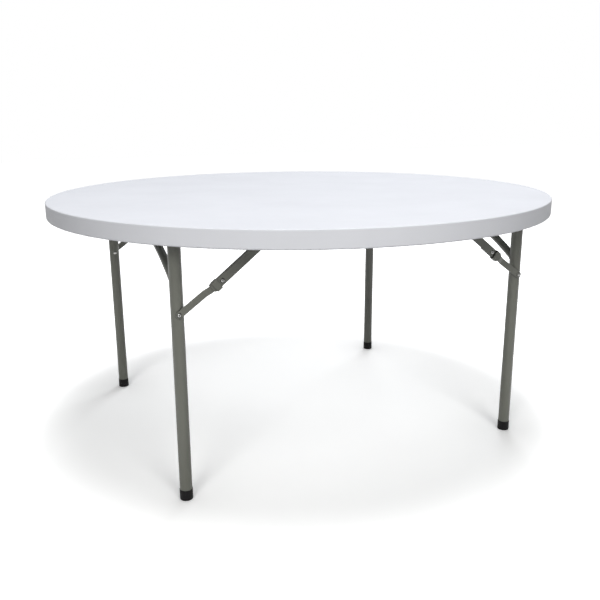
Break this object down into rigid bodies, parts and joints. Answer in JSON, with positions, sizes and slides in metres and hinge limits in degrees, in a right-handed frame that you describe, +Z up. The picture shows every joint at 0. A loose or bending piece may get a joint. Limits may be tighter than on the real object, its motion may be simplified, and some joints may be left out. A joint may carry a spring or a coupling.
{
  "type": "round folding table",
  "caption": "Round moulded-plastic table top on two folding steel leg frames with arched cross braces, hinged side braces and sliding lock rings.",
  "frame": {"origin": "on the floor below the middle of the top", "axes": "+Z up, X along the direction in which the leg frames fold, Y along the crossbars with -Y at the front"},
  "size_m": [1.5398, 1.5398, 0.74],
  "materials": {
    "white_plastic": "fine moulded grain",
    "grey_coat": "satin powder coat",
    "black_plastic": "matt",
    "bright_steel": "zinc plated"
  },
  "bodies": {
    "top": {"tabletop": "white_plastic", "side_rail_front": "grey_coat", "side_rail_back": "grey_coat", "rail_screws_front": "bright_steel", "rail_screws_back": "bright_steel", "pivot_block_front_left": "black_plastic", "pivot_block_back_left": "black_plastic", "pivot_block_front_right": "black_plastic", "pivot_block_back_right": "black_plastic", "pivot_rivet_front_left": "bright_steel", "pivot_rivet_back_left": "bright_steel", "pivot_rivet_front_right": "bright_steel", "pivot_rivet_back_right": "bright_steel"},
    "leg_frame_left": {"crossbar_left": "grey_coat", "arch_brace_left": "grey_coat", "crossbar_plug_front_left": "black_plastic", "crossbar_plug_back_left": "black_plastic", "leg_front_left": "grey_coat", "leg_back_left": "grey_coat", "foot_cap_front_left": "black_plastic", "foot_cap_back_left": "black_plastic", "leg_rivet_front_left": "bright_steel", "leg_rivet_back_left": "bright_steel"},
    "leg_frame_right": {"crossbar_right": "grey_coat", "arch_brace_right": "grey_coat", "crossbar_plug_front_right": "black_plastic", "crossbar_plug_back_right": "black_plastic", "leg_front_right": "grey_coat", "leg_back_right": "grey_coat", "foot_cap_front_right": "black_plastic", "foot_cap_back_right": "black_plastic", "leg_rivet_front_right": "bright_steel", "leg_rivet_back_right": "bright_steel"},
    "upper_arm_front_left": {"upper_arm_front_left": "grey_coat", "middle_rivet_front_left": "bright_steel"},
    "upper_arm_back_left": {"upper_arm_back_left": "grey_coat", "middle_rivet_back_left": "bright_steel"},
    "upper_arm_front_right": {"upper_arm_front_right": "grey_coat", "middle_rivet_front_right": "bright_steel"},
    "upper_arm_back_right": {"upper_arm_back_right": "grey_coat", "middle_rivet_back_right": "bright_steel"},
    "lower_arm_front_left": {"lower_arm_front_left": "grey_coat", "rivet_head_front_left": "bright_steel"},
    "lower_arm_back_left": {"lower_arm_back_left": "grey_coat", "rivet_head_back_left": "bright_steel"},
    "lower_arm_front_right": {"lower_arm_front_right": "grey_coat", "rivet_head_front_right": "bright_steel"},
    "lower_arm_back_right": {"lower_arm_back_right": "grey_coat", "rivet_head_back_right": "bright_steel"},
    "lock_ring_front_left": {"lock_ring_front_left": "grey_coat"},
    "lock_ring_back_left": {"lock_ring_back_left": "grey_coat"},
    "lock_ring_front_right": {"lock_ring_front_right": "grey_coat"},
    "lock_ring_back_right": {"lock_ring_back_right": "grey_coat"}
  },
  "joints": [
    {"name": "fold_left", "type": "hinge", "parent": "top", "child": "leg_frame_left", "pos_m": [-0.50799, 0, 0.704], "axis": [0, -1, 0], "range_deg": [0, 83.5]},
    {"name": "fold_right", "type": "hinge", "parent": "top", "child": "leg_frame_right", "pos_m": [0.50799, 0, 0.704], "axis": [0, 1, 0], "range_deg": [0, 90]},
    {"name": "upper_turn_front_left", "type": "hinge", "parent": "top", "child": "upper_arm_front_left", "pos_m": [-0.26799, -0.4665, 0.697], "axis": [0, 1, 0], "range_deg": [0, 37.47]},
    {"name": "lower_turn_front_left", "type": "hinge", "parent": "upper_arm_front_left", "child": "lower_arm_front_left", "pos_m": [-0.40926, -0.4665, 0.58615], "axis": [0, -1, 0], "range_deg": [0, 171.39]},
    {"name": "ring_slide_front_left", "type": "slide", "parent": "upper_arm_front_left", "child": "lock_ring_front_left", "axis": [0.7867, 0, 0.6173], "range_m": [0, 0.181]},
    {"name": "upper_turn_back_left", "type": "hinge", "parent": "top", "child": "upper_arm_back_left", "pos_m": [-0.26799, 0.4665, 0.697], "axis": [0, 1, 0], "range_deg": [0, 37.47]},
    {"name": "lower_turn_back_left", "type": "hinge", "parent": "upper_arm_back_left", "child": "lower_arm_back_left", "pos_m": [-0.40926, 0.4665, 0.58615], "axis": [0, -1, 0], "range_deg": [0, 171.39]},
    {"name": "ring_slide_back_left", "type": "slide", "parent": "upper_arm_back_left", "child": "lock_ring_back_left", "axis": [0.7867, 0, 0.6173], "range_m": [0, 0.181]},
    {"name": "upper_turn_front_right", "type": "hinge", "parent": "top", "child": "upper_arm_front_right", "pos_m": [0.26799, -0.4665, 0.697], "axis": [0, -1, 0], "range_deg": [0, 31.55]},
    {"name": "lower_turn_front_right", "type": "hinge", "parent": "upper_arm_front_right", "child": "lower_arm_front_right", "pos_m": [0.40926, -0.4665, 0.58615], "axis": [0, 1, 0], "range_deg": [0, 182.7]},
    {"name": "ring_slide_front_right", "type": "slide", "parent": "upper_arm_front_right", "child": "lock_ring_front_right", "axis": [-0.7867, 0, 0.6173], "range_m": [0, 0.181]},
    {"name": "upper_turn_back_right", "type": "hinge", "parent": "top", "child": "upper_arm_back_right", "pos_m": [0.26799, 0.4665, 0.697], "axis": [0, -1, 0], "range_deg": [0, 31.55]},
    {"name": "lower_turn_back_right", "type": "hinge", "parent": "upper_arm_back_right", "child": "lower_arm_back_right", "pos_m": [0.40926, 0.4665, 0.58615], "axis": [0, 1, 0], "range_deg": [0, 182.7]},
    {"name": "ring_slide_back_right", "type": "slide", "parent": "upper_arm_back_right", "child": "lock_ring_back_right", "axis": [-0.7867, 0, 0.6173], "range_m": [0, 0.181]}
  ],
  "couplings": [
    {"joint": "upper_turn_front_left", "follows": "fold_left", "ratio": 0.44875},
    {"joint": "lower_turn_front_left", "follows": "fold_left", "ratio": 2.0525},
    {"joint": "ring_slide_front_left", "follows": "fold_left", "m_per_rad": 0.1242},
    {"joint": "upper_turn_back_left", "follows": "fold_left", "ratio": 0.44875},
    {"joint": "lower_turn_back_left", "follows": "fold_left", "ratio": 2.0525},
    {"joint": "ring_slide_back_left", "follows": "fold_left", "m_per_rad": 0.1242},
    {"joint": "upper_turn_front_right", "follows": "fold_right", "ratio": 0.35054},
    {"joint": "lower_turn_front_right", "follows": "fold_right", "ratio": 2.03},
    {"joint": "ring_slide_front_right", "follows": "fold_right", "m_per_rad": 0.11523},
    {"joint": "upper_turn_back_right", "follows": "fold_right", "ratio": 0.35054},
    {"joint": "lower_turn_back_right", "follows": "fold_right", "ratio": 2.03},
    {"joint": "ring_slide_back_right", "follows": "fold_right", "m_per_rad": 0.11523}
  ]
}
